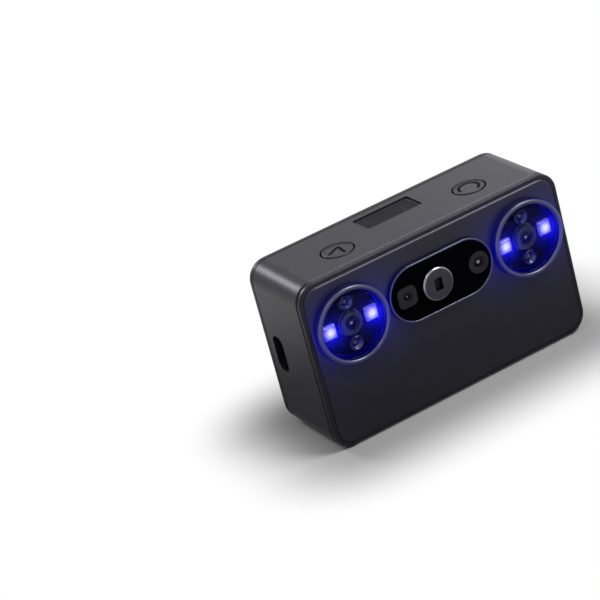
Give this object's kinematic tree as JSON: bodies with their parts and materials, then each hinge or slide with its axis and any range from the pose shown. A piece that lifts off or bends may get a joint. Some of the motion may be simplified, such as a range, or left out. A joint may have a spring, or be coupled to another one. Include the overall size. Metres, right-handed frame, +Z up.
{
  "type": "handheld three-d scanner",
  "caption": "Palm-sized handheld three-d scanner: dark casing with round camera and lamp windows, an oblong projector window, push buttons in the top, side sockets and a rear screen.",
  "frame": {"origin": "under the middle of the part's box, on the surface that it stands on", "axes": "+X to the right of someone who faces the windows, +Y from the windows to the screen, +Z up"},
  "size_m": [0.12, 0.0456, 0.0714],
  "materials": {
    "casing": "fine moulded texture, dark charcoal",
    "front_panel": "smooth matte, dark charcoal",
    "seal": "black",
    "window_ring": "anodised grey, satin",
    "projector_ring": "turned silver, satin",
    "window_glass": "clear, coated",
    "screen_glass": "clear, polished",
    "black_panel": "black, polished",
    "lens": "black barrel with a coated lens",
    "blue_led": "lit lamp package",
    "display": "lit display",
    "grille": "black",
    "socket": "stamped shell",
    "light_pipe": "translucent",
    "label": "bare white film",
    "steel": "plain",
    "black_screw": "black oxide",
    "brass": "machined",
    "bench": "machined",
    "board": "green solder mask",
    "ribbon": "amber film",
    "module": "black",
    "battery": "wrapped cell"
  },
  "bodies": {
    "casing": {"antenna": "ribbon", "battery": "battery", "bench_screws": "steel", "blank_label": "label", "board_screws": "steel", "board_standoffs": "steel", "bottom_cover": "casing", "bracket_screws": "steel", "button_board": "board", "button_board_screws": "steel", "button_switches": "module", "case_screws": "steel", "centre_panel": "black_panel", "centre_window_ring": "window_ring", "colour_camera": "lens", "data_port": "socket", "display_bracket": "steel", "display_flex": "ribbon", "display_panel": "display", "distance_sensor": "lens", "front_frame": "casing", "front_panel": "front_panel", "front_seal": "seal", "heat_sink": "bench", "left_blue_leds": "blue_led", "left_camera": "lens", "left_lamp_board": "black_panel", "left_lamp_lenses": "lens", "left_window_glass": "window_glass", "left_window_ring": "window_ring", "main_board": "board", "mid_housing": "casing", "optical_bench": "bench", "port_board": "board", "port_board_screws": "steel", "projector_module": "module", "projector_ring": "projector_ring", "rear_frame": "casing", "rear_seal": "seal", "right_blue_leds": "blue_led", "right_camera": "lens", "right_lamp_board": "black_panel", "right_lamp_lenses": "lens", "right_window_glass": "window_glass", "right_window_ring": "window_ring", "screen_glass": "screen_glass", "shield_can": "steel", "status_light": "light_pipe", "strap_bar": "steel", "strap_cup": "seal", "tripod_bush": "brass", "tripod_pad": "seal", "under_plug": "seal", "under_screws": "black_screw", "usb_port": "socket", "vent_grille": "grille"},
    "power_button": {"power_button": "casing"},
    "scan_button": {"scan_button": "casing"}
  },
  "joints": [
    {"name": "power_press", "type": "slide", "parent": "casing", "child": "power_button", "axis": [0, 0, -1], "range_m": [0, 0.0006], "stiffness_N_per_m": 2500, "springref_m": -0.0002},
    {"name": "scan_press", "type": "slide", "parent": "casing", "child": "scan_button", "axis": [0, 0, -1], "range_m": [0, 0.0006], "stiffness_N_per_m": 2500, "springref_m": -0.0002}
  ]
}
